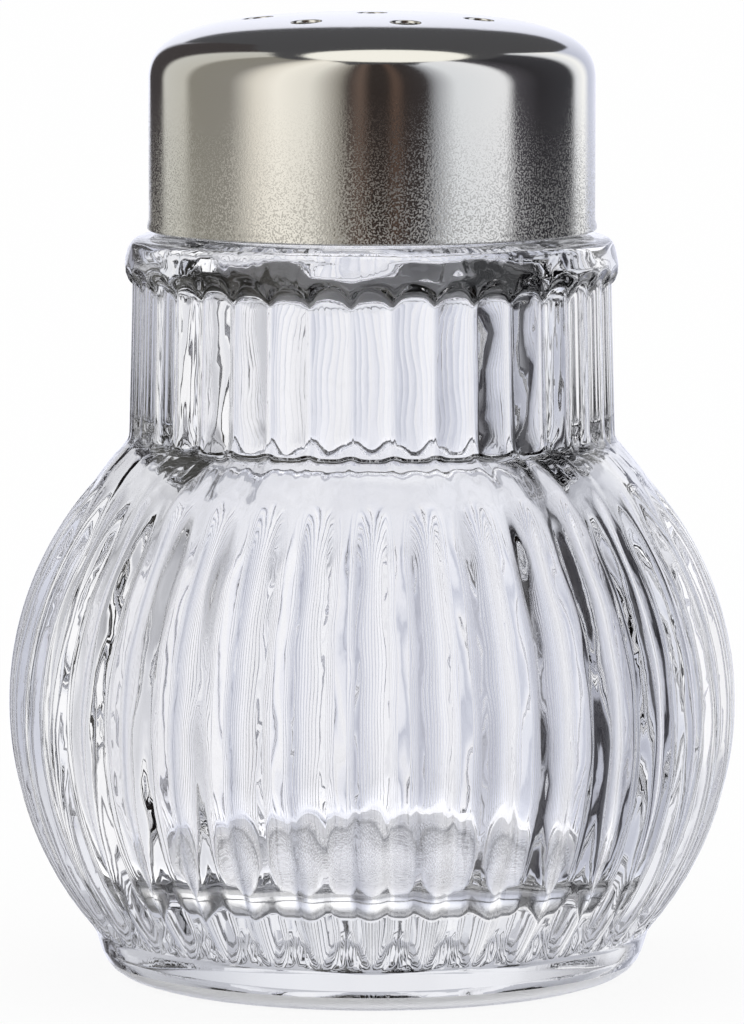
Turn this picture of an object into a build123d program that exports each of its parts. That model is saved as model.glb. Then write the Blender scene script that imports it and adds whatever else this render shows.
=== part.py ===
"""Ribbed glass spice shaker with a screwed metal cap.

Millimetres, +Z up. The origin is the middle of the foot, on the surface that the shaker stands on.
The jar is heavy pressed glass: a ribbed bulb under a ribbed neck, a plain rounded collar, and a
threaded finish that the cap hides. The cap is a drawn metal shell over a moulded threaded liner,
and a soft ring under the liner's flange seals the glass rim.
"""

import os
from math import asin, cos, degrees, hypot, radians, sin, sqrt

from build123d import *

# Foot of the jar
foot_height = 4.4          # top of the plain band under the ribs
foot_base_radius = 17.9    # outer edge of the ring that touches the table
bearing_radius = 15.0      # inner edge of the ring that touches the table
punt_height = 1.0          # hollow under the foot

# Ribbed bulb
bulb_radius = 26.0         # over the rib crests at the widest point
bulb_height = 19.3         # height of the widest point
bulb_arc = 23.95           # radius of the crest line, seen from the side
rib_count = 36
rib_height = 0.65          # from the valley to the crest
rib_crest = 1.2            # width of a rib's top
rib_base = 4.4             # width at its root, which lies inside the glass
rib_depth = 0.9            # from the crest to the root
rib_tuck = 2.6             # how far the ribs run down behind the foot band

# Shoulder and ribbed neck
shoulder_height = 36.6     # plain ring where the ribs of the bulb end
shoulder_swell = 0.3       # how far the ring stands over the crest line
valley_fill = 1.7          # height over which the valleys rise to the ring
shoulder_slope = 2.3       # height of the slope between the ring and the neck
neck_length = 14.0         # from the shoulder to the middle of the collar
neck_radius = 17.45        # over the rib crests, at the shoulder
neck_taper = 0.35          # how much less it is under the collar
neck_rib_height = 0.4
neck_rib_round = 2.2

# Collar under the cap
collar_radius = 17.5
collar_slope = 1.6         # height of the slope under the collar
land_radius = 16.9         # edge of the flat under the cap
land_rise = 2.4            # from the collar's widest line to that flat

# Threaded finish
bore_radius = 10.8
finish_wall = 2.65         # glass between the bore and the root of the thread
rim_bevel = 0.5
thread_pitch = 3.2
thread_turns = 1.5
thread_depth = 0.95
thread_base = 1.3          # width of a thread at its root
thread_crest = 0.6
thread_lead = 3.0          # from the rim down to the upper end of the jar's thread
thread_fade = 40.0         # degrees over which each end of a thread sinks into its wall

# Inside of the jar
floor_height = 8.0
floor_bevel = 3.0
bulb_wall = 5.3            # glass at the widest point
cavity_rise = 1.0          # how much higher the cavity is widest than the bulb
throat_bevel = 2.2

# Cap shell
cap_gap = 0.3              # daylight between the cap's edge and the land
cap_height = 15.4
cap_wall = 0.45
cap_corner = 5.3           # radius between the wall and the pierced top
hem_height = 0.55
hem_lip = 0.55             # how far the hem turns in under the liner
hem_bead = 0.12            # how far it stands proud of the wall
hem_bevel = 0.15
hole_diameter = 2.2
hole_ring_radius = 8.1
hole_count = 7             # on the ring, besides the one in the middle
hole_phase = 16.8          # degrees from the front, towards the right

# Liner and seal
liner_fit = 0.05           # between liner and shell
liner_wall = 0.72
thread_clearance = 0.25    # between a thread's crest and the other's root
thread_play = 0.15         # between the threads' flanks, along the axis
flange_drop = 2.05         # from the underside of the crown to the flange's lower face
liner_web = 1.6            # height of the sloped corner between skirt and flange
flange_lip = 0.4           # how far the flange reaches in past the bore
seal_thickness = 0.8
seal_margin = 0.3          # from the seal's edges to the edges of the rim

# What follows from them
collar_height = shoulder_height + neck_length
land_height = collar_height + land_rise
cap_edge = land_height + cap_gap
cap_top = cap_edge + cap_height
hem_top = cap_edge + hem_height
flange_height = cap_top - cap_wall - flange_drop
rim_height = flange_height - seal_thickness
finish_radius = bore_radius + finish_wall
liner_bore = finish_radius + thread_depth + thread_clearance
cap_radius = liner_bore + liner_wall + liner_fit + cap_wall
thread_start = rim_height - thread_lead - thread_pitch * thread_turns
bulb_centre = bulb_radius - bulb_arc
valley_radius = bulb_radius - rib_height
cavity_radius = bulb_radius - bulb_wall
cavity_height = bulb_height + cavity_rise


def ball_side(radius, centre_height, height):
    """Point, at a height, of the side of a ball centred on the axis."""
    return (sqrt(radius**2 - (height - centre_height) ** 2), height)


def ball_radius(low, high):
    """Radius of the ball, centred on the axis, whose side passes through two points."""
    centre = (high[0] ** 2 - low[0] ** 2 + high[1] ** 2 - low[1] ** 2) / (2 * (high[1] - low[1]))
    return hypot(low[0], low[1] - centre)


def corner_point(inset, lean):
    """Point of the cap's rounded corner, inset by a distance, at an angle above the horizontal."""
    corner = cap_corner - inset
    return (
        cap_radius - cap_corner + corner * cos(radians(lean)),
        cap_top - cap_corner + corner * sin(radians(lean)),
    )


def thread(root_radius, depth, start_height):
    """Ridge on a helix. A negative depth points inwards. Both ends sink into the wall."""
    steps_per_turn = 24
    root = 0.3 * depth             # how far the ridge reaches into its wall
    sink = depth + root / 2        # how far its ends have dived under the wall
    path_points = []
    for step in range(round(thread_turns * steps_per_turn) + 1):
        angle = 360 * step / steps_per_turn
        from_end = min(angle, 360 * thread_turns - angle)
        radius = root_radius - sink * max(1 - from_end / thread_fade, 0) ** 2
        height = start_height + thread_pitch * angle / 360
        path_points.append((radius * cos(radians(angle)), radius * sin(radians(angle)), height))
    with BuildLine() as path:
        Spline(*path_points)
    with BuildSketch(Plane(path.line @ 0, x_dir=(1, 0, 0), z_dir=(0, 1, 0))) as section:
        with BuildLine():
            Polyline(
                (-root, thread_base / 2),
                (depth, thread_crest / 2),
                (depth, -thread_crest / 2),
                (-root, -thread_base / 2),
                close=True,
            )
        make_face()
    return sweep(section.sketch, path=path.line, is_frenet=True, mode=Mode.PRIVATE)


# A rib of the bulb: a bar with a flat top and sloped sides, bent along the crest line
with BuildPart() as bulb_rib:
    rib_foot = asin((foot_height - rib_tuck - bulb_height) / bulb_arc)
    rib_head = asin((shoulder_height + shoulder_swell - bulb_height) / bulb_arc)
    rib_outward = Vector(cos(rib_foot), 0, sin(rib_foot))
    rib_start = Vector(bulb_centre, 0, bulb_height) + bulb_arc * rib_outward
    with BuildSketch(Plane(rib_start, x_dir=rib_outward, z_dir=(-sin(rib_foot), 0, cos(rib_foot)))):
        with BuildLine():
            Polyline(
                (0, rib_crest / 2),
                (-rib_depth, rib_base / 2),
                (-rib_depth, -rib_base / 2),
                (0, -rib_crest / 2),
                close=True,
            )
        make_face()
    rib_bend = Axis((bulb_centre, 0, bulb_height), (0, -1, 0))
    revolve(axis=rib_bend, revolution_arc=degrees(rib_head - rib_foot))

# A rib of the neck: a straight round bar that leans in with the neck's taper
with BuildPart() as neck_rib:
    neck_rib_foot = Vector(neck_radius - neck_rib_round, 0, shoulder_height)
    neck_rib_head = Vector(neck_radius - neck_taper - neck_rib_round, 0, collar_height)
    with BuildSketch(Plane(neck_rib_foot, z_dir=neck_rib_head - neck_rib_foot)):
        Circle(neck_rib_round)
    extrude(amount=(neck_rib_head - neck_rib_foot).length)

# Jar: one turned outline with its cavity, then the ribs and the thread that stand on it
with BuildPart() as glass_jar:
    with BuildSketch(Plane.XZ) as jar_outline:
        neck_wall = neck_radius - neck_rib_height
        foot_edge = (foot_base_radius, 0)
        valley_foot = ball_side(valley_radius, bulb_height, foot_height)
        valley_head = ball_side(valley_radius, bulb_height, shoulder_height - valley_fill)
        shoulder_reach = sqrt(bulb_arc**2 - (shoulder_height - bulb_height) ** 2)
        collar = (collar_radius, collar_height)
        land_edge = (land_radius, land_height)
        bore_foot = cavity_height + sqrt(cavity_radius**2 - bore_radius**2)
        floor_edge = ball_side(cavity_radius, cavity_height, floor_height)
        with BuildLine():
            Polyline((0, punt_height), (bearing_radius, 0), foot_edge)
            RadiusArc(foot_edge, valley_foot, -ball_radius(foot_edge, valley_foot))
            RadiusArc(valley_foot, valley_head, -valley_radius)
            Polyline(
                valley_head,
                (bulb_centre + shoulder_reach + shoulder_swell, shoulder_height),
                (neck_wall, shoulder_height + shoulder_slope),
                (neck_wall - neck_taper, collar_height - collar_slope),
                collar,
            )
            RadiusArc(collar, land_edge, -ball_radius(collar, land_edge))
            Polyline(
                land_edge,
                (finish_radius, land_height),
                (finish_radius, rim_height),
                (bore_radius, rim_height),
                (bore_radius, bore_foot),
            )
            RadiusArc((bore_radius, bore_foot), floor_edge, cavity_radius)
            Polyline(floor_edge, (0, floor_height), (0, punt_height))
        make_face()
        corners = jar_outline.vertices()
        chamfer(corners.sort_by_distance((finish_radius, rim_height))[0], rim_bevel)
        chamfer(corners.sort_by_distance((bore_radius, rim_height))[0], rim_bevel)
        chamfer(corners.sort_by_distance((bore_radius, bore_foot))[0], throat_bevel)
        chamfer(corners.sort_by_distance(floor_edge)[0], floor_bevel)
    revolve(axis=Axis.Z)
    with PolarLocations(0, rib_count):
        add(bulb_rib.part)
    with PolarLocations(0, rib_count):
        add(neck_rib.part)
    add(thread(finish_radius, thread_depth, thread_start))
glass_jar.part.label = "glass_jar"

# Cap shell: a drawn cup with a round edge, its top pierced for pouring, its rim turned in as a hem
with BuildPart() as cap_shell:
    inner_radius = cap_radius - cap_wall
    bead_radius = cap_radius + hem_bead
    with BuildSketch(Plane.XZ) as shell_outline:
        with BuildLine():
            Polyline((0, cap_top - cap_wall), (0, cap_top), corner_point(0, 90))
            ThreePointArc(corner_point(0, 90), corner_point(0, 45), corner_point(0, 0))
            Polyline(
                corner_point(0, 0),
                (cap_radius, hem_top),
                (bead_radius, hem_top - hem_bead),
                (bead_radius, cap_edge),
                (inner_radius - hem_lip, cap_edge),
                (inner_radius - hem_lip, hem_top),
                (inner_radius, hem_top),
                *[corner_point(cap_wall, lean) for lean in (0, 45, 90)],
                (0, cap_top - cap_wall),
            )
        make_face()
        chamfer(shell_outline.vertices().sort_by_distance((bead_radius, cap_edge))[0], hem_bevel)
    revolve(axis=Axis.Z)
    with Locations((0, 0, cap_top)):
        Hole(hole_diameter / 2)
        with PolarLocations(hole_ring_radius, hole_count, start_angle=hole_phase - 90):
            Hole(hole_diameter / 2)
cap_shell.part.label = "cap_shell"

# Thread of the liner, trimmed inside the liner's wall
with BuildPart() as liner_thread:
    add(thread(liner_bore, -thread_depth, thread_start - thread_base - thread_play))
    Cylinder(liner_bore + liner_wall / 2, 2 * cap_top, mode=Mode.INTERSECT)

# Liner: fills the shell down to the hem, with a flange over the rim and a thread in its bore
with BuildPart() as cap_liner:
    liner_inset = cap_wall + liner_fit
    with BuildSketch(Plane.XZ) as liner_outline:
        with BuildLine():
            Polyline(
                (0, hem_top),
                (cap_radius - liner_inset, hem_top),
                *[corner_point(liner_inset, lean) for lean in (0, 45, 90)],
                (0, cap_top - liner_inset),
                close=True,
            )
        make_face()
        with BuildLine():
            Polyline(
                (0, hem_top),
                (liner_bore, hem_top),
                (liner_bore, flange_height - liner_web),
                (finish_radius, flange_height),
                (bore_radius - flange_lip, flange_height),
                (bore_radius - flange_lip, cap_top),
                (0, cap_top),
                close=True,
            )
        make_face(mode=Mode.SUBTRACT)
    revolve(axis=Axis.Z)
    add(liner_thread.part)
cap_liner.part.label = "cap_liner"

# Seal: a flat soft ring between the glass rim and the liner's flange
with BuildPart() as sealing_ring:
    with BuildSketch(Plane.XY.offset(rim_height)):
        Circle(finish_radius - seal_margin)
        Circle(bore_radius + seal_margin, mode=Mode.SUBTRACT)
    extrude(amount=seal_thickness)
sealing_ring.part.label = "sealing_ring"

os.makedirs("parts", exist_ok=True)
for piece in (glass_jar, cap_shell, cap_liner, sealing_ring):
    export_step(piece.part, f"parts/{piece.part.label}.step")
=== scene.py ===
"""Looks of a ribbed glass spice shaker with a pierced, screwed metal cap.

The sections follow the shaker as it is put together: the jar, the seal on its rim, the cap's
liner, the cap's shell, and then the table, light and camera. A section's own sizes are in
millimetres, and every piece is made in place, with the foot's middle at the origin and +Z up.
"""

import bmesh
import bpy
import numpy as np
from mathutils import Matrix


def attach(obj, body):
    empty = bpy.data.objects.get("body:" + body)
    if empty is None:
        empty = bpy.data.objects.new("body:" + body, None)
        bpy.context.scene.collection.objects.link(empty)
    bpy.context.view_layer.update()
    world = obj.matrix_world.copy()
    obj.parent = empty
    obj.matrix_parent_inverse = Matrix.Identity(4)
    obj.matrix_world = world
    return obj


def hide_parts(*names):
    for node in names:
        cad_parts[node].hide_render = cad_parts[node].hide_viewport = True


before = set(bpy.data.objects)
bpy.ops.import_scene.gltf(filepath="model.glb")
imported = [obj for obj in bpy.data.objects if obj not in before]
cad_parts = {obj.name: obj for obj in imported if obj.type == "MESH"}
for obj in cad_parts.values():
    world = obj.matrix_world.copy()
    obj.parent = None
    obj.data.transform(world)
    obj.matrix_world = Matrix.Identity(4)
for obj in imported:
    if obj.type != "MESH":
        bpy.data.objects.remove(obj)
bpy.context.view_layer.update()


# ---- Jar ------------------------------------------------------------------------------------
# Heavy pressed soda-lime glass in one piece: a ribbed bulb under a ribbed neck, a plain collar
# and a threaded finish. A plunger forms the cavity, and the mould's halves form the ribs.

mm = 0.001


def rounded_line(points, cuts, steps=6):
    """Line of straight runs through (radius, height) points, with rounded corners.

    A corner is swapped for the parabola (1-t)^2 A + 2 t (1-t) B + t^2 C, where B is the corner
    and A and C lie on its two runs, each the corner's cut away from it.
    """
    points = np.asarray(points, float)
    line = [points[:1]]
    t = np.linspace(0, 1, steps + 1)[:, None]
    for before, corner, after, cut in zip(points, points[1:], points[2:], cuts):
        if cut == 0:
            line.append(corner[None])
            continue
        a = corner + (before - corner) * cut / np.linalg.norm(before - corner)
        c = corner + (after - corner) * cut / np.linalg.norm(after - corner)
        line.append((1 - t) ** 2 * a + 2 * t * (1 - t) * corner + t**2 * c)
    return np.vstack(line + [points[-1:]])


def resampled(line, spacing):
    """The same line with extra points, so that none are further apart than the spacing."""
    runs = np.linalg.norm(np.diff(line, axis=0), axis=1)
    along = np.concatenate([[0], np.cumsum(runs)])
    counts = np.maximum(np.ceil(runs / spacing - 1e-6).astype(int), 1)
    places = np.concatenate(
        [np.linspace(a, b, n, endpoint=False) for a, b, n in zip(along, along[1:], counts)]
        + [along[-1:]]
    )
    return np.stack([np.interp(places, along, line[:, k]) for k in (0, 1)], axis=1)


def outward(line):
    """Unit normals of a (radius, height) line that climbs the outside of a turned piece.

    A slope (dr, dz) of unit length is turned to (dz, -dr).
    """
    slope = np.gradient(line, axis=0)
    slope /= np.linalg.norm(slope, axis=1, keepdims=True)
    return np.stack([slope[:, 1], -slope[:, 0]], axis=1)


def smooth(x, low, high):
    """0 below low and 1 above high, with the curve 3 t^2 - 2 t^3 in between."""
    t = np.clip((x - low) / (high - low), 0, 1)
    return t * t * (3 - 2 * t)


def waver(angle, height, waves):
    """Sum of gentle waves a sin(2 pi (n angle + height / length) + phase), with angle in turns.

    Each wave is a set of its size a, its count n in a turn, its length up the wall and its phase.
    """
    return sum(
        a * np.sin(2 * np.pi * (n * angle + height / length) + phase)
        for a, n, length, phase in waves
    )


def ridge(angle, height, foot, pitch, turns, depth, base, crest, fade):
    """Height of a screw thread over its wall, at an angle in turns and a height.

    The middle of the ridge is at foot + pitch * turn, for turn from 0 to turns. Its section is a
    trapezoid from base to crest wide, and within fade turns of its two ends it sinks away.
    """
    standing = np.zeros(np.broadcast(angle, height).shape)
    for lap in range(int(np.ceil(turns)) + 1):
        turn = angle + lap
        off = np.abs(height - foot - pitch * turn)
        section = np.clip((base / 2 - off) / (base / 2 - crest / 2), 0, 1)
        ends = smooth(np.minimum(turn, turns - turn), 0, fade)
        standing = np.maximum(standing, depth * section * ends)
    return standing


def turned_mesh(name, turn, radius, height, loop=False):
    """Object whose row i and column j lie at radius[i, j] and height[i, j], turn[j] of a turn on.

    Columns join up round the axis. With loop, the rows join up as well, as in a ring. Otherwise
    the first and last rows close to a point on the axis, each with a fan of triangles.
    """
    rows, columns = radius.shape
    angle = 2 * np.pi * turn
    corners = np.stack([radius * np.cos(angle), radius * np.sin(angle), height], axis=2)
    corners = corners.reshape(-1, 3)
    i, j = np.meshgrid(np.arange(rows if loop else rows - 1), np.arange(columns), indexing="ij")
    up, on = (i + 1) % rows, (j + 1) % columns
    quads = np.stack([i * columns + j, i * columns + on, up * columns + on, up * columns + j], 2)
    faces = [quads.reshape(-1, 4)]
    if not loop:
        poles = np.array([[0, 0, height[0].mean()], [0, 0, height[-1].mean()]])
        low, high = len(corners), len(corners) + 1
        corners = np.vstack([corners, poles])
        first, last = np.arange(columns), (rows - 1) * columns + np.arange(columns)
        faces.append(np.stack([np.full(columns, low), np.roll(first, -1), first], 1))
        faces.append(np.stack([np.full(columns, high), last, np.roll(last, -1)], 1))
    return faced_mesh(name, corners, faces)


def faced_mesh(name, corners, faces):
    """Smooth-shaded object of corners in millimetres and arrays of faces, one for each size."""
    mesh = bpy.data.meshes.new(name)
    mesh.vertices.add(len(corners))
    mesh.vertices.foreach_set("co", (corners * mm).astype(np.float32).ravel())
    sizes = np.concatenate([np.full(len(f), f.shape[1]) for f in faces])
    mesh.loops.add(int(sizes.sum()))
    mesh.polygons.add(len(sizes))
    mesh.polygons.foreach_set("loop_start", np.concatenate([[0], np.cumsum(sizes)[:-1]]))
    mesh.polygons.foreach_set("vertices", np.concatenate([f.ravel() for f in faces]))
    mesh.update(calc_edges=True)
    mesh.shade_smooth()
    piece = bpy.data.objects.new(name, mesh)
    bpy.context.scene.collection.objects.link(piece)
    return piece


def linear(code):
    """Linear RGBA of an sRGB hex colour."""
    s = np.array([int(code[k : k + 2], 16) for k in (1, 3, 5)]) / 255
    return [*np.where(s <= 0.04045, s / 12.92, ((s + 0.055) / 1.055) ** 2.4), 1.0]


def add_node(tree, kind, links=(), **settings):
    """Adds a node. Settings are its own properties, or its inputs where they name a socket.

    A key such as in_Scale or in_0 sets that input. Links are (socket, output) pairs.
    """
    node = tree.nodes.new(kind)
    for key, value in settings.items():
        if key.startswith("in_"):
            socket = key[3:].replace("_", " ")
            node.inputs[int(socket) if socket.isdigit() else socket].default_value = value
        else:
            setattr(node, key, value)
    for socket, output in links:
        tree.links.new(output, node.inputs[socket])
    return node


def new_material(name):
    """Empty material, its node tree and its output node."""
    material = bpy.data.materials.new(name)
    material.use_nodes = True
    material.node_tree.nodes.clear()
    return material, material.node_tree, material.node_tree.nodes.new("ShaderNodeOutputMaterial")


ring_radius = 17.2         # outer edge of the ring that stands on the table
heel_radius = 19.0         # the heel, rounded from the ring up to the foot's band
foot_top = 3.75            # where the ribs run out on the foot's band
rib_count = 36
bulb_radius = 25.989       # over the crests
bulb_height = 19.3         # of its widest place
bulb_arc = 23.94           # radius of the round that the crests follow from foot to shoulder
bulb_rows = 40
bulb_rib_depth = 0.78
bulb_rib_reach = 0.62      # half a rib's width, as a share of half the pitch
bulb_rib_root = 0.1        # softness of the line where a rib meets the ground beside it
ground_edge = 0.4          # where the ground's arched ends start, as a share of half the pitch
groove_fade = 5.0          # height in which the bulb's grooves run out under the shoulder
shoulder_radius = 18.87    # of the plain ring between the bulb and the neck
shoulder_height = 36.6
neck_foot = 38.5
neck_head = 49.3
neck_radius = 17.05        # over the crests at the neck's head, and of the land's edge
neck_rib_depth = 0.4
collar_radius = 17.75
arcade_rise = 0.8          # of the collar's lower edge, over each rib of the neck
land_height = 53.0         # the flat step on which the cap's edge closes
finish_radius = 13.45
rim_height = 65.4
bore_radius = 10.8
waist_depth = 2.2          # by which the bore narrows behind the collar
fine_top = land_height + 3             # under this the bore's rows are close together
throat_height = 48.0       # where the bore starts to open into the cavity
cavity_radius = 20.7
cavity_height = 20.3       # of its round's middle
cavity_rows = 28
floor_height = 8.0
pole_radius = 0.6          # first and last row, round the points that close the mesh

# The jar's thread. The liner has one of the same form, which sits between its turns.
thread_foot = rim_height - 7.8
thread_form = {"pitch": 3.2, "turns": 1.5, "depth": 0.95, "base": 1.3, "crest": 0.6, "fade": 0.1}

# Columns across one rib, closer together on its flanks: -1 and 1 in the grooves, 0 on the crest
half_rib = np.array([0, 0.2, 0.39, 0.54, 0.66, 0.82])
one_rib = np.concatenate([half_rib, [1], -half_rib[:0:-1]])
columns = rib_count * len(one_rib)
turn = (np.arange(columns) // len(one_rib) + np.tile(one_rib % 2, rib_count) / 2) / rib_count
across = np.tile(one_rib, rib_count)

# Outside, from the hollow under the foot to the rim
lean = np.arcsin((np.array([foot_top, shoulder_height - 1.2]) - bulb_height) / bulb_arc)
lean = np.linspace(*lean, bulb_rows)
bulb = np.stack(
    [bulb_radius - bulb_arc + bulb_arc * np.cos(lean), bulb_height + bulb_arc * np.sin(lean)], 1
)
foot = rounded_line(
    [
        (pole_radius, 1.0),
        (14.9, 0.75),
        (15.3, 0),
        (ring_radius, 0),
        (heel_radius, 0.35),
        (19.5, 2.05),
        (19.86, 3.2),
        bulb[0],
    ],
    [0.3, 0.3, 0.1, 1.65, 0.12, 0.25],
    steps=4,
)
top = rounded_line(
    [
        bulb[-1],
        (shoulder_radius, shoulder_height + 0.05),
        (17.33, neck_foot - 0.05),
        (neck_radius, neck_head - 0.1),
        (collar_radius, neck_head + 1.5),
        (neck_radius, land_height - 0.3),
        (15.2, land_height + 0.02),
        (finish_radius, land_height),
        (finish_radius, rim_height),
        (bore_radius, rim_height),
    ],
    [0.9, 0.4, 0.5, 1.1, 0.6, 0.5, 0.3, 0.35, 0.35],
    steps=4,
)
root, lip = np.flatnonzero(top[:, 0] == finish_radius)[[0, -1]]
neck = resampled(top[: root + 1], spacing=0.8)
finish = resampled(top[root : lip + 1], spacing=0.5)
outline = np.vstack([resampled(foot, spacing=1.6), bulb[1:-1], neck, finish[1:-1], top[lip:]])
facing_out = outward(outline)
r, z = outline[:, :1], outline[:, 1:]

# How far the surface lies under the crest line: between the full round ribs of the bulb, which
# stand on a nearly flat ground, and between the ribs of the neck, which meet in sharp valleys.
# The bulb's ribs waver a little in width, and the ground between them ends in two arches.
reach = bulb_rib_reach + waver(
    turn, z, [(0.03, 23, 9.0, 0), (0.02, 41, -5.0, 2), (0.012, 67, 3.4, 4)]
)
rib = 1 - (across / reach) ** 2
groove = bulb_rib_depth * (1 - (rib + np.hypot(rib, bulb_rib_root)) / 2)
arch = np.sqrt(np.clip((np.abs(across) - ground_edge) / (1 - ground_edge), 0, 1))
low_end = foot_top + 0.05 + 0.95 * arch**2
high_end = shoulder_height - 0.55 + 0.3 * arch
groove = groove * smooth(z, low_end - 0.5, low_end + 0.2)
groove *= 1 - smooth(z, high_end - groove_fade, high_end)
flute = neck_rib_depth * np.abs(across) ** 2.2
flute = flute * smooth(z, neck_foot - 0.4 * across**2, neck_foot + 1.4 - 0.6 * across**2)
flute *= 1 - smooth(z, neck_head + 0.35 - 0.75 * across**2, neck_head + 0.85 - 0.35 * across**2)
depth = groove + flute

# How far it stands over that line: the thread on the finish, and the collar's cast unevenness
thread = ridge(turn, z, thread_foot, **thread_form)
thread = thread * (r > finish_radius - 0.01) * (z > land_height + 0.2)
swirl = waver(turn, z, [(0.06, 5, 4.0, 0), (0.04, 11, -3.0, 1), (0.02, 23, 2.2, 3)])
swirl = swirl * smooth(z, neck_head, neck_head + 1) * (1 - smooth(z, land_height - 1, land_height))
outer_radius = r - depth * facing_out[:, :1] + thread + swirl

# The collar's lower edge is an arcade: it is lifted over each rib's crest, and low at a valley
arcade = arcade_rise * (1 - across**2) * smooth(z, neck_head - 1.7, neck_head - 0.1)
arcade *= 1 - smooth(z, neck_head + 0.2, neck_head + 2.1)
outer_height = z - depth * facing_out[:, 1:] + arcade

# Inside, from the rim down the bore to the floor. The plunger leaves gentle ripples in the wall.
bore_foot = cavity_height + np.sqrt(cavity_radius**2 - bore_radius**2)
lean = np.linspace(
    np.arctan2(bore_foot + 1.0 - cavity_height, bore_radius + 1.2),
    np.arcsin((floor_height + 3.0 - cavity_height) / cavity_radius),
    cavity_rows,
)
cavity = np.stack([cavity_radius * np.cos(lean), cavity_height + cavity_radius * np.sin(lean)], 1)
finish_bore = np.concatenate(
    [np.linspace(rim_height, fine_top, 5)[1:], np.linspace(fine_top, throat_height, 11)[1:-1]]
)
finish_bore = np.stack([np.full(len(finish_bore), bore_radius), finish_bore], axis=1)
throat = rounded_line(
    [(bore_radius, throat_height), (bore_radius, bore_foot + 1.2), cavity[0]], [2.4]
)
base = rounded_line(
    [cavity[-1], (17.0, floor_height + 0.05), (pole_radius, floor_height + 0.15)], [3.1]
)
inside = np.vstack(
    [finish_bore, resampled(throat, spacing=1.4), cavity[1:-1], resampled(base, spacing=1.6)]
)
inner_radius, inner_height = inside[:, :1], inside[:, 1:] + 0 * turn
ripple = waver(
    turn,
    inner_height,
    [
        (0.035, 9, 57.0, 0),
        (0.03, 17, -27.0, 1),
        (0.02, 31, 11.0, 2),
        (0.012, 36, 400.0, 0),
        (0.012, 58, 7.0, 3),
        (0.008, 83, -5.0, 5),
    ],
)
ripple = ripple * smooth(inner_height, floor_height + 1, floor_height + 6)
inner_radius = inner_radius + ripple * (inner_radius > 2)

# Behind the collar the bore narrows to a waist, and its wall curls a little. The light bends
# there, so that the collar shows the cap's metal and its dark inside in uneven bands.
curl = waver(turn, inner_height, [(0.2, 4, 6.3, 0), (0.12, 9, -4.1, 2), (0.06, 14, 3.3, 1)])
curl *= smooth(inner_height, neck_head - 1.8, neck_head + 0.7)
curl *= 1 - smooth(inner_height, land_height + 1, land_height + 5)
waist = waist_depth * smooth(inner_height, neck_head - 0.7, land_height + 0.8)
waist *= 1 - smooth(inner_height, land_height + 2, land_height + 7)
inner_radius += curl - waist

glass_body = turned_mesh(
    "glass_body",
    turn,
    np.vstack([outer_radius, inner_radius]),
    np.vstack([outer_height, inner_height]),
)
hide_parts("glass_jar")
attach(glass_body, "jar")

# Pressed soda-lime glass, fire-polished: clear with a cold tinge. Flow lines run along the way
# it was pressed, and break up what is seen through it into fine streaks.
pressed_glass, tree, output = new_material("pressed_soda_lime_glass")
place = add_node(tree, "ShaderNodeTexCoord")
stretched = add_node(
    tree, "ShaderNodeMapping", [(0, place.outputs["Object"])], in_Scale=(1, 1, 0.14)
)
flow = add_node(
    tree,
    "ShaderNodeTexNoise",
    [("Vector", stretched.outputs[0])],
    in_Scale=1 / (1.8 * mm),
    in_Detail=3.0,
    in_Roughness=0.45,
)
ripples = add_node(
    tree,
    "ShaderNodeBump",
    [("Height", flow.outputs["Fac"])],
    in_Distance=0.03 * mm,
    in_Strength=0.28,
)
glass = add_node(
    tree,
    "ShaderNodeBsdfPrincipled",
    [("Normal", ripples.outputs[0])],
    in_Base_Color=linear("#fbfbfd"),
    in_Roughness=0.0,
    in_IOR=1.52,
    in_Transmission_Weight=1.0,
)
tree.links.new(glass.outputs[0], output.inputs["Surface"])

# The underside is stippled in the mould, which makes it a frosted glass that glows from the table
stippled_glass, tree, output = new_material("stippled_soda_lime_glass")
place = add_node(tree, "ShaderNodeTexCoord")
stipple = add_node(
    tree,
    "ShaderNodeTexVoronoi",
    [("Vector", place.outputs["Object"])],
    in_Scale=1 / (0.9 * mm),
)
dimples = add_node(
    tree,
    "ShaderNodeBump",
    [("Height", stipple.outputs["Distance"])],
    in_Distance=0.1 * mm,
    in_Strength=0.5,
)
frosted = add_node(
    tree,
    "ShaderNodeBsdfPrincipled",
    [("Normal", dimples.outputs[0])],
    in_Base_Color=(1, 1, 1, 1),
    in_Roughness=0.35,
    in_IOR=1.52,
    in_Transmission_Weight=1.0,
)
tree.links.new(frosted.outputs[0], output.inputs["Surface"])

# The heel has rubbed on tables for years: scuffed glass, which scatters a share of the light
scuffed_glass, tree, output = new_material("scuffed_soda_lime_glass")
place = add_node(tree, "ShaderNodeTexCoord")
scratches = add_node(
    tree,
    "ShaderNodeTexNoise",
    [("Vector", place.outputs["Object"])],
    in_Scale=1 / (0.7 * mm),
    in_Detail=3.0,
)
scuffs = add_node(
    tree,
    "ShaderNodeBump",
    [("Height", scratches.outputs["Fac"])],
    in_Distance=0.05 * mm,
    in_Strength=0.5,
)
scuffed = add_node(
    tree,
    "ShaderNodeBsdfPrincipled",
    [("Normal", scuffs.outputs[0])],
    in_Base_Color=(1, 1, 1, 1),
    in_Roughness=0.3,
    in_IOR=1.52,
    in_Transmission_Weight=0.45,
)
tree.links.new(scuffed.outputs[0], output.inputs["Surface"])

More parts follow.
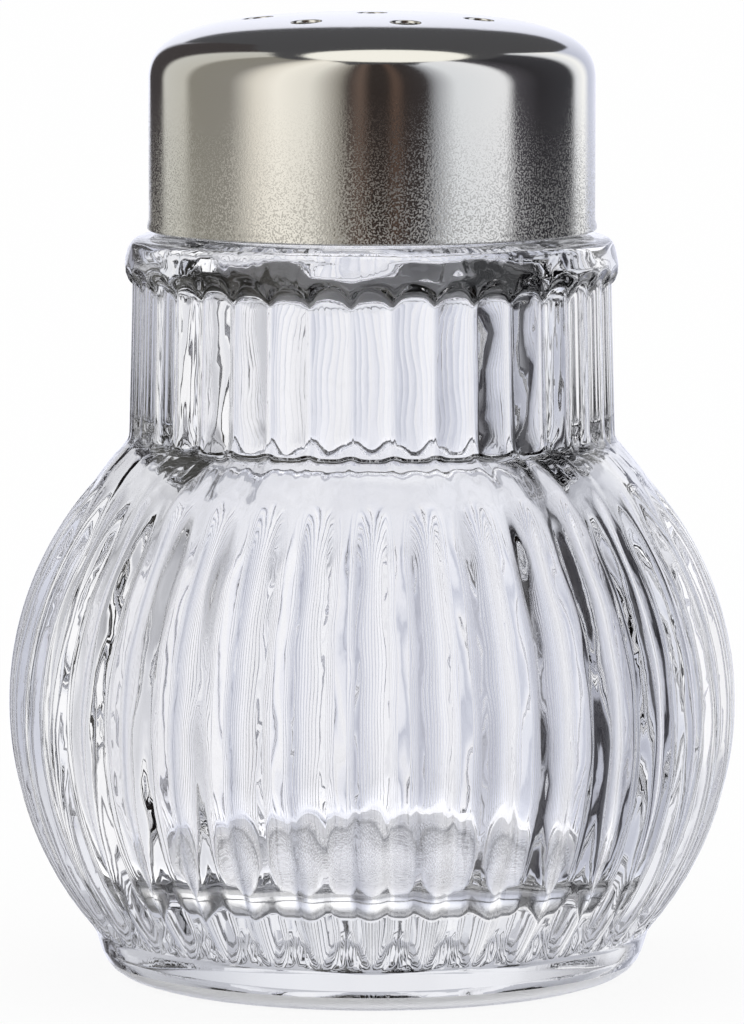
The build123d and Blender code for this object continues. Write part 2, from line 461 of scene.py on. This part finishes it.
# The underside reaches to the ring's outer edge, and the heel from there to the foot's band. The
# fan of faces that closes the middle of the hollow comes after all the rows.
for surface in (pressed_glass, stippled_glass, scuffed_glass):
    glass_body.data.materials.append(surface)
underside_slot, heel_slot = 1, 2
heel_start = int(np.argmax(r > ring_radius - 0.05)) * columns
heel_end = int(np.argmax(r > heel_radius + 0.05)) * columns
fan_start = (len(outline) + len(inside) - 1) * columns
slots = np.zeros(len(glass_body.data.polygons), int)
slots[:heel_start] = underside_slot
slots[heel_start:heel_end] = heel_slot
slots[fan_start : fan_start + columns] = underside_slot
glass_body.data.polygons.foreach_set("material_index", slots)


# ---- Seal -----------------------------------------------------------------------------------
# Flat washer of soft white silicone, stamped from sheet, which lies on the glass rim and is
# squeezed under the liner's flange.

# Silicone rubber, filled white: soft and milky, without shine, with a fine grain
silicone, tree, output = new_material("silicone_washer")
place = add_node(tree, "ShaderNodeTexCoord")
grain = add_node(
    tree,
    "ShaderNodeTexNoise",
    [("Vector", place.outputs["Object"])],
    in_Scale=1 / (0.4 * mm),
    in_Detail=3.0,
)
tone = add_node(tree, "ShaderNodeValToRGB", [("Fac", grain.outputs["Fac"])])
tone.color_ramp.elements[0].color = linear("#ecebe7")
tone.color_ramp.elements[1].color = linear("#f6f5f2")
skin = add_node(
    tree,
    "ShaderNodeBump",
    [("Height", grain.outputs["Fac"])],
    in_Distance=0.02 * mm,
    in_Strength=0.4,
)
rubber = add_node(
    tree,
    "ShaderNodeBsdfPrincipled",
    [("Base Color", tone.outputs[0]), ("Normal", skin.outputs[0])],
    in_Roughness=0.6,
    in_IOR=1.43,
)
tree.links.new(rubber.outputs[0], output.inputs["Surface"])
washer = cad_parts["sealing_ring"]
washer.data.materials.clear()
washer.data.materials.append(silicone)


# ---- Liner ----------------------------------------------------------------------------------
# Injection-moulded polypropylene cup, pressed into the metal shell. Its bore has the thread, and
# its flange presses the seal on the glass.

hem_top = 53.85
cap_top = 68.68
cap_wall = 0.45
shell_radius = 15.87
crown_edge = 64.0          # where the crown's round ends and the straight wall starts
liner_gap = 0.05           # between the liner and the shell
flange_height = 66.2
flange_opening = 10.4      # radius, under the pour holes
liner_bore = 14.65
liner_edge = 15.3          # outer radius of the liner's foot
thread_play = 1.45         # by which the liner's thread lies under the jar's
liner_columns = 144


def crown_line(steps):
    """Points of the crown's outside, from the middle to the wall, as one cubic Bezier curve."""
    t = np.linspace(0, 1, steps)[:, None]
    a, b, c, d = np.array(
        [(0, cap_top), (13.33, cap_top), (15.86, 66.93), (shell_radius, crown_edge)]
    )
    return (1 - t) ** 3 * a + 3 * t * (1 - t) ** 2 * b + 3 * t**2 * (1 - t) * c + t**3 * d


def inset(line, distance):
    """The line moved in: a point p becomes p - distance * n, where n is its outward normal.

    The first normal is straight up and the last one level, as at the crown's middle and wall.
    """
    ways = outward(line[::-1])[::-1]
    ways[0], ways[-1] = (0, 1), (1, 0)
    return line - distance * ways


under = inset(crown_line(60), cap_wall + liner_gap)
liner_crown = under[(under[:, 0] > flange_opening + 0.2) & (under[:, 0] < liner_edge)][::-3]
liner_wall = rounded_line(
    [
        (flange_opening, flange_height + 0.9),
        (flange_opening, flange_height),
        (finish_radius, flange_height),
        (liner_bore, flange_height - 1.6),
        (liner_bore, hem_top + 0.05),
        (liner_edge, hem_top + 0.05),
        (15.37, 60.0),
    ],
    [0.15, 0.2, 0.2, 0.1, 0.1],
    steps=3,
)
liner_outline = np.vstack([resampled(liner_wall, spacing=0.35), liner_crown])
liner_r, liner_z = liner_outline[:, :1], liner_outline[:, 1:]
liner_turn = np.arange(liner_columns) / liner_columns
in_bore = np.abs(liner_r - liner_bore) < 0.02
in_bore &= (liner_z > hem_top + 0.15) & (liner_z < flange_height - 1.7)
liner_thread = ridge(liner_turn, liner_z, thread_foot - thread_play, **thread_form)
threaded_liner = turned_mesh(
    "threaded_liner",
    liner_turn,
    liner_r - liner_thread * in_bore,
    np.repeat(liner_z, liner_columns, axis=1),
    loop=True,
)
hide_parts("cap_liner")
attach(threaded_liner, "cap")

# Natural white polypropylene, moulded: waxy, half matt, with a faint grain from the tool
polypropylene, tree, output = new_material("moulded_polypropylene")
place = add_node(tree, "ShaderNodeTexCoord")
grain = add_node(
    tree,
    "ShaderNodeTexNoise",
    [("Vector", place.outputs["Object"])],
    in_Scale=1 / (0.5 * mm),
    in_Detail=2.0,
)
tone = add_node(tree, "ShaderNodeValToRGB", [("Fac", grain.outputs["Fac"])])
tone.color_ramp.elements[0].color = linear("#f3f3f0")
tone.color_ramp.elements[1].color = linear("#fbfbf8")
skin = add_node(
    tree,
    "ShaderNodeBump",
    [("Height", grain.outputs["Fac"])],
    in_Distance=0.01 * mm,
    in_Strength=0.3,
)
plastic = add_node(
    tree,
    "ShaderNodeBsdfPrincipled",
    [("Base Color", tone.outputs[0]), ("Normal", skin.outputs[0])],
    in_Roughness=0.42,
    in_IOR=1.49,
    in_Subsurface_Weight=0.1,
    in_Subsurface_Radius=(0.6 * mm, 0.6 * mm, 0.6 * mm),
)
tree.links.new(plastic.outputs[0], output.inputs["Surface"])
threaded_liner.data.materials.append(polypropylene)


# ---- Cap shell ------------------------------------------------------------------------------
# Stainless steel cup, drawn from 0.45 mm sheet and tumbled to a soft shine. Eight pour holes are
# punched in its crown, and its rim is turned in as a hem under the liner.

hole_radius = 1.1
hole_ring = 8.1            # radius of the ring on which seven of the holes lie
ring_holes = 7
hole_phase = np.radians(16.8 - 90)     # the first hole's angle from the x axis
hole_lip = 0.06            # rounding of a hole's edge
lip_rows = 4
cell_inner = 4.6           # the cells of the ring's holes reach from this radius
cell_outer = 11.6          # to this one
cell_rows = 8
outer_steps, inner_steps, side_steps = 40, 16, 16
hem_radius = 15.99
inner_wall = 15.42         # radius of the wall's inside

crown = crown_line(2001)


def crown_height(distance, drop=0.0):
    """Height of the crown over the table, or a drop under it, at a distance from the axis."""
    line = inset(crown, drop) if drop else crown
    return np.interp(distance, line[:, 0], line[:, 1])


def even_angles(count):
    """Angles that split a turn evenly, from the straight side before the first hole's cell."""
    return hole_phase - np.pi / ring_holes + 2 * np.pi * np.arange(count) / count


def rim_walk():
    """Points, in plan, round the edge of a cell whose hole is on the x axis, anticlockwise.

    The edge runs along the outer arc, down one straight side, along the inner arc, and up.
    """
    half = np.pi / ring_holes
    arc = np.linspace(-half, half, outer_steps, endpoint=False)
    back = np.linspace(half, -half, inner_steps, endpoint=False)
    ways = np.linspace(0, 1, side_steps, endpoint=False)
    radius = np.concatenate(
        [
            np.full(outer_steps, cell_outer),
            cell_outer + (cell_inner - cell_outer) * ways,
            np.full(inner_steps, cell_inner),
            cell_inner + (cell_outer - cell_inner) * ways,
        ]
    )
    angle = np.concatenate([arc, np.full(side_steps, half), back, np.full(side_steps, -half)])
    return np.stack([radius * np.cos(angle), radius * np.sin(angle)], axis=1)


def pierced_cell(middle, edge):
    """Rows of (x, y, height), from under the crown to its top, round a hole.

    A row is a blend (1 - s) * hole + s * edge, and the rows at the hole turn over its rounded
    edge, so that the metal shows its thickness.
    """
    ways = edge - middle
    ways /= np.linalg.norm(ways, axis=1, keepdims=True)
    spread = np.linspace(0, 1, cell_rows + 1)[1:] ** 1.3
    hole = middle + ways * (hole_radius + hole_lip)
    flat = hole + spread[:, None, None] * (edge - hole)
    turn_over = np.linspace(0, np.pi / 2, lip_rows)[:, None, None]
    lip = middle + ways * (hole_radius + hole_lip * (1 - np.cos(turn_over)))
    lip_drop = hole_lip * (1 - np.sin(turn_over[..., 0]))
    plan = np.concatenate([flat[::-1], lip[::-1], lip, flat])
    distance = np.linalg.norm(plan, axis=2)
    half = cell_rows + lip_rows
    heights = crown_height(distance)
    heights[:half] = crown_height(distance[:half], cap_wall)
    heights[cell_rows:half] += lip_drop[::-1]
    heights[half : half + lip_rows] -= lip_drop
    return np.concatenate([plan, heights[..., None]], axis=2)


def ring_faces(rows, columns, start):
    """Quads that join each row of a grid of corners to the next, and the last column to the first.

    Corners are numbered row by row, from start on.
    """
    i, j = np.meshgrid(np.arange(rows - 1), np.arange(columns), indexing="ij")
    here, on = i * columns + j, i * columns + (j + 1) % columns
    quads = np.stack([here, on, on + columns, here + columns])
    return start + quads.reshape(4, -1).T


# The pierced crown: a cell for each hole of the ring, and a round one in the middle
grids = []
walk = rim_walk()
for hole in range(ring_holes):
    angle = hole_phase + 2 * np.pi * hole / ring_holes
    turn_plan = np.array([[np.cos(angle), np.sin(angle)], [-np.sin(angle), np.cos(angle)]])
    grids.append(pierced_cell(np.array([hole_ring, 0.0]) @ turn_plan, walk @ turn_plan))
middle_angle = even_angles(ring_holes * inner_steps)
middle_edge = cell_inner * np.stack([np.cos(middle_angle), np.sin(middle_angle)], axis=1)
grids.append(pierced_cell(np.zeros(2), middle_edge))

# The rest of the shell: down the outside, round the hem, and up the inside. Every 18th or 30th
# point of the fine crown line is enough for its rounded shoulder.
wall_line = rounded_line(
    [
        crown[-1],
        (shell_radius, hem_top + 0.15),
        (hem_radius, hem_top - 0.2),
        (hem_radius, hem_top - 0.55),
        (15.25, hem_top - 0.55),
        (15.05, hem_top - 0.2),
        (15.25, hem_top),
        (inner_wall, hem_top + 0.1),
        (inner_wall, crown_edge - 0.2),
    ],
    [0.2, 0.12, 0.2, 0.2, 0.1, 0.1, 0.08],
    steps=4,
)
shoulder_out = crown[crown[:, 0] > cell_outer + 0.2][::18]
shoulder_in = inset(crown, cap_wall)
shoulder_in = shoulder_in[shoulder_in[:, 0] > cell_outer + 0.2][::-30]
drop_line = np.vstack(
    [
        [(cell_outer, crown_height(cell_outer))],
        shoulder_out,
        resampled(wall_line, spacing=1.0),
        shoulder_in,
        [(cell_outer, crown_height(cell_outer, cap_wall))],
    ]
)
shell_columns = ring_holes * outer_steps
shell_angle = even_angles(shell_columns)
plan = drop_line[:, None, :1] * np.stack([np.cos(shell_angle), np.sin(shell_angle)], axis=1)[None]
heights = np.repeat(drop_line[:, None, 1:], shell_columns, axis=1)
grids.append(np.concatenate([plan, heights], axis=2)[::-1])

corners, faces, start = [], [], 0
for grid in grids:
    faces.append(ring_faces(grid.shape[0], grid.shape[1], start))
    corners.append(grid.reshape(-1, 3))
    start += grid.shape[0] * grid.shape[1]
steel_shell = faced_mesh("steel_shell", np.vstack(corners), faces)

# The grids meet corner on corner, and are merged there
welded = bmesh.new()
welded.from_mesh(steel_shell.data)
bmesh.ops.remove_doubles(welded, verts=welded.verts, dist=0.002 * mm)
bmesh.ops.recalc_face_normals(welded, faces=welded.faces)
welded.to_mesh(steel_shell.data)
welded.free()
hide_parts("cap_shell")
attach(steel_shell, "cap")

# Stainless steel, drawn and tumbled: a warm grey mirror with a fine pebble, which breaks the
# edges of what it reflects into specks. The crown is rubbed bright, and the wall stays pebbled.
# The real grit is finer than this, and is drawn as coarse as it needs to show.
tumbled_steel, tree, output = new_material("tumbled_stainless_steel")
place = add_node(tree, "ShaderNodeTexCoord")
pebble = add_node(
    tree,
    "ShaderNodeTexNoise",
    [("Vector", place.outputs["Object"])],
    in_Scale=1 / (0.15 * mm),
    in_Detail=1.0,
)
height = add_node(tree, "ShaderNodeSeparateXYZ", [(0, place.outputs["Object"])])
wear = add_node(
    tree,
    "ShaderNodeMapRange",
    [("Value", height.outputs["Z"])],
    in_From_Min=crown_edge * mm,
    in_From_Max=54 * mm,
    in_To_Min=0.06,
    in_To_Max=1.0,
)
pebbled = add_node(
    tree,
    "ShaderNodeBump",
    [("Height", pebble.outputs["Fac"]), ("Strength", wear.outputs[0])],
    in_Distance=0.012 * mm,
)
grit = add_node(
    tree,
    "ShaderNodeTexNoise",
    [("Vector", place.outputs["Object"])],
    in_Scale=1 / (0.12 * mm),
    in_Detail=0.0,
)
grains = add_node(
    tree,
    "ShaderNodeMapRange",
    [("Value", grit.outputs["Fac"])],
    in_From_Min=0.45,
    in_From_Max=0.62,
    in_To_Min=0.0,
    in_To_Max=0.5,
)
worn = add_node(
    tree,
    "ShaderNodeMath",
    [(0, grains.outputs[0]), (1, wear.outputs[0])],
    operation="MULTIPLY",
)
shine = add_node(tree, "ShaderNodeMath", [(0, worn.outputs[0])], operation="ADD", in_1=0.08)
metal = add_node(
    tree,
    "ShaderNodeBsdfPrincipled",
    [("Normal", pebbled.outputs[0]), ("Roughness", shine.outputs[0])],
    in_Base_Color=linear("#d7d6d2"),
    in_Metallic=1.0,
)
tree.links.new(metal.outputs[0], output.inputs["Surface"])
steel_shell.data.materials.append(tumbled_steel)


# ---- Table, light and camera ----------------------------------------------------------------
# A pale matt table top, and a studio with soft boxes and dark gaps, which the metal and the glass
# mirror. Matt surfaces get plain soft white light.

table_radius = 4000
table_sides = 64
table_drop = 0.02          # under the foot, so that the two surfaces don't lie in one plane

side = np.arange(table_sides)
table_turn = 2 * np.pi * side / table_sides
table_edge = np.stack([np.cos(table_turn), np.sin(table_turn), 0 * table_turn], axis=1)
table_corners = np.vstack([table_radius * table_edge, [[0, 0, 0]]]) - [0, 0, table_drop]
table_faces = np.stack([np.full(table_sides, table_sides), side, np.roll(side, -1)], axis=1)
table_top = faced_mesh("table_top", table_corners, [table_faces])
table_top.visible_glossy = False
table_top.visible_transmission = False

# White laminate, matt. The camera sees it nearly as plain white, with a little of the shadow.
white_laminate, tree, output = new_material("white_laminate")
matt = add_node(tree, "ShaderNodeBsdfDiffuse", in_Color=linear("#fafafa"))
glow = add_node(tree, "ShaderNodeEmission", in_Color=(1, 1, 1, 1), in_Strength=1.0)
path = add_node(tree, "ShaderNodeLightPath")
direct = add_node(
    tree, "ShaderNodeMath", [(0, path.outputs["Is Camera Ray"])], operation="MULTIPLY", in_1=0.9
)
mixed = add_node(
    tree,
    "ShaderNodeMixShader",
    [("Fac", direct.outputs[0]), (1, matt.outputs[0]), (2, glow.outputs[0])],
)
tree.links.new(mixed.outputs[0], output.inputs["Surface"])
table_top.data.materials.append(white_laminate)

# The studio by direction. A stop is an azimuth in degrees, 0 behind the camera and growing to
# its right, and values blend from stop to stop. First come the soft boxes, cards and gaps that
# the metal mirrors, then the heights in degrees to which they reach.
boxes = [
    (-180, "#e6e8f4"),
    (-166, "#e6e8f4"),
    (-162, "#403c3d"),
    (-139, "#403c3d"),
    (-134, "#c9c8c3"),
    (-113, "#c4c2bb"),
    (-107, "#8a877f"),
    (-78, "#8b8882"),
    (-73, "#a8a59f"),
    (-62, "#e4dfd6"),
    (-50, "#fbf7ef"),
    (-32, "#e9e6df"),
    (-17, "#918d86"),
    (-12, "#453e3c"),
    (-6, "#685850"),
    (-1, "#322c2a"),
    (8, "#322c2a"),
    (12, "#5f4d44"),
    (17, "#352f2e"),
    (28, "#383435"),
    (34, "#a3a5ab"),
    (44, "#e3e6ec"),
    (73, "#eff0f5"),
    (79, "#4c4a50"),
    (96, "#302f33"),
    (125, "#3c3c41"),
    (131, "#e6e8ee"),
    (141, "#ffffff"),
    (150, "#c0c4d6"),
    (180, "#e6e8f4"),
]
tops = [
    (-180, 20),
    (-164, 20),
    (-160, 45),
    (-134, 60),
    (-80, 66),
    (-73, 78),
    (-30, 69),
    (-18, 62),
    (-12, 66),
    (28, 66),
    (34, 60),
    (46, 66),
    (70, 68),
    (78, 60),
    (132, 50),
    (146, 30),
    (160, 20),
]
# What shows through the glass: the white sweep near the horizon and below, and cards over it
sweep = [
    (-180, "#f6f7fb"),
    (-165, "#ffffff"),
    (-140, "#ffffff"),
    (-118, "#e3e4e8"),
    (-95, "#cfd0d4"),
    (-60, "#e2e3e7"),
    (0, "#d8d9de"),
    (60, "#e2e3e8"),
    (92, "#c4c5ca"),
    (97, "#3a3a3f"),
    (111, "#3a3a3f"),
    (117, "#a9abb5"),
    (140, "#bfc2ce"),
    (158, "#d6d9e3"),
    (172, "#ebedf3"),
    (180, "#f6f7fb"),
]
cards = [
    (-180, "#f4f5f8"),
    (-160, "#f0f1f4"),
    (-148, "#dadbdf"),
    (-125, "#a3a4a8"),
    (-100, "#d2d3d7"),
    (-60, "#e6e7ea"),
    (-20, "#d8d9de"),
    (20, "#d8d9de"),
    (60, "#e2e3e8"),
    (90, "#b5b6bc"),
    (98, "#2f2f33"),
    (134, "#343438"),
    (142, "#c9cbd2"),
    (165, "#eaecf1"),
    (180, "#f4f5f8"),
]

studio = bpy.data.worlds.new("studio")
bpy.context.scene.world = studio
studio.use_nodes = True
tree = studio.node_tree
tree.nodes.clear()
output = tree.nodes.new("ShaderNodeOutputWorld")
way = add_node(tree, "ShaderNodeTexCoord")
facing = add_node(
    tree, "ShaderNodeMapping", [(0, way.outputs["Generated"])], in_Rotation=(0, 0, np.pi / 2)
)
azimuth = add_node(
    tree, "ShaderNodeTexGradient", [(0, facing.outputs[0])], gradient_type="RADIAL"
)
# A height in degrees is kept as its sine, which is the Z of a direction that rises by it
ramps = []
for stops in (boxes, tops, sweep, cards):
    ramps.append(add_node(tree, "ShaderNodeValToRGB", [("Fac", azimuth.outputs["Fac"])]))
    elements = ramps[-1].color_ramp.elements
    while len(elements) > 1:
        elements.remove(elements[-1])
    for count, (degrees, value) in enumerate(stops):
        position = degrees / 360 + 0.5
        stop = elements[0] if count == 0 else elements.new(position)
        stop.position = position
        stop.color = (
            linear(value) if isinstance(value, str) else [np.sin(np.radians(value))] * 3 + [1.0]
        )
box, top_edge, ground, card = (ramp.outputs[0] for ramp in ramps)
rise = add_node(tree, "ShaderNodeSeparateXYZ", [(0, way.outputs["Generated"])])

# What metal mirrors: the boxes up to their tops, the dark ceiling over them, and in it a lamp
over = add_node(
    tree, "ShaderNodeMath", [(0, rise.outputs["Z"]), (1, top_edge)], operation="SUBTRACT"
)
ceiling = add_node(
    tree,
    "ShaderNodeMapRange",
    [("Value", over.outputs[0])],
    interpolation_type="SMOOTHSTEP",
    in_From_Min=-0.015,
    in_From_Max=0.015,
)
room = add_node(
    tree,
    "ShaderNodeMix",
    [("Factor", ceiling.outputs[0]), (6, box)],
    data_type="RGBA",
    in_7=linear("#4a4a4d"),
)
# The lamp is an ellipse: within it, a direction's moved and stretched X and Y measure under 1
lamp_place = add_node(
    tree,
    "ShaderNodeMapping",
    [(0, way.outputs["Generated"])],
    in_Location=(-0.18, -0.12, 0.0),
    in_Scale=(2.6, 3.0, 0.0),
)
lamp_span = add_node(
    tree, "ShaderNodeVectorMath", [(0, lamp_place.outputs[0])], operation="LENGTH"
)
lamp_shape = add_node(
    tree,
    "ShaderNodeMapRange",
    [("Value", lamp_span.outputs["Value"])],
    in_From_Min=1.05,
    in_From_Max=0.95,
)
upper = add_node(
    tree, "ShaderNodeMath", [(0, rise.outputs["Z"])], operation="GREATER_THAN", in_1=0.0
)
lamp_here = add_node(
    tree,
    "ShaderNodeMath",
    [(0, lamp_shape.outputs[0]), (1, upper.outputs[0])],
    operation="MULTIPLY",
)
lit_room = add_node(
    tree,
    "ShaderNodeMix",
    [("Factor", lamp_here.outputs[0]), (6, room.outputs[2])],
    data_type="RGBA",
    in_7=linear("#fffdf6"),
)
mirrored = add_node(
    tree, "ShaderNodeBackground", [("Color", lit_room.outputs[2])], in_Strength=1.3
)

# What shows through glass: the sweep up to just over the horizon, and then the cards
lifted = add_node(
    tree,
    "ShaderNodeMapRange",
    [("Value", rise.outputs["Z"])],
    interpolation_type="SMOOTHSTEP",
    in_From_Min=-0.03,
    in_From_Max=0.06,
)
behind = add_node(
    tree,
    "ShaderNodeMix",
    [("Factor", lifted.outputs[0]), (6, ground), (7, card)],
    data_type="RGBA",
)
# Through the glass the ceiling is a light grey, as the glass also scatters the lamps' light
hazy = add_node(
    tree,
    "ShaderNodeMix",
    [("Factor", ceiling.outputs[0]), (6, behind.outputs[2])],
    data_type="RGBA",
    in_7=linear("#c3c5cc"),
)
# The table close round the foot is seen steeply, and is the brightest
bright = add_node(
    tree,
    "ShaderNodeMapRange",
    [("Value", rise.outputs["Z"])],
    in_From_Min=-0.3,
    in_From_Max=-0.7,
    in_To_Min=1.0,
    in_To_Max=1.3,
)
through = add_node(
    tree,
    "ShaderNodeBackground",
    [("Color", hazy.outputs[2]), ("Strength", bright.outputs[0])],
)

# Mirror and glass rays get those two. Matt surfaces and the camera get plain white.
path = add_node(tree, "ShaderNodeLightPath")
shown = add_node(
    tree,
    "ShaderNodeMixShader",
    [
        ("Fac", path.outputs["Is Transmission Ray"]),
        (1, mirrored.outputs[0]),
        (2, through.outputs[0]),
    ],
)
shiny = add_node(
    tree,
    "ShaderNodeMath",
    [(0, path.outputs["Is Glossy Ray"]), (1, path.outputs["Is Transmission Ray"])],
    operation="MAXIMUM",
)
white = add_node(tree, "ShaderNodeBackground", in_Color=(1, 1, 1, 1), in_Strength=1.0)
lighting = add_node(
    tree,
    "ShaderNodeMixShader",
    [("Fac", shiny.outputs[0]), (1, white.outputs[0]), (2, shown.outputs[0])],
)
seen = add_node(
    tree,
    "ShaderNodeMixShader",
    [("Fac", path.outputs["Is Camera Ray"]), (1, lighting.outputs[0]), (2, white.outputs[0])],
)
tree.links.new(seen.outputs[0], output.inputs["Surface"])

# Long lens, a little over half a metre in front of the jar and slightly above it
look_down = 6.37           # degrees below the level

lens = bpy.data.cameras.new("camera")
lens.lens = 270.4
lens.sensor_width = 36.0
lens.clip_start, lens.clip_end = 0.05, 50.0
camera = bpy.data.objects.new("camera", lens)
camera.location = (0, -0.546, 0.094)
camera.rotation_euler = (np.radians(90 - look_down), 0, 0)
bpy.context.scene.collection.objects.link(camera)
bpy.context.scene.camera = camera

bpy.context.scene.view_settings.view_transform = "Standard"
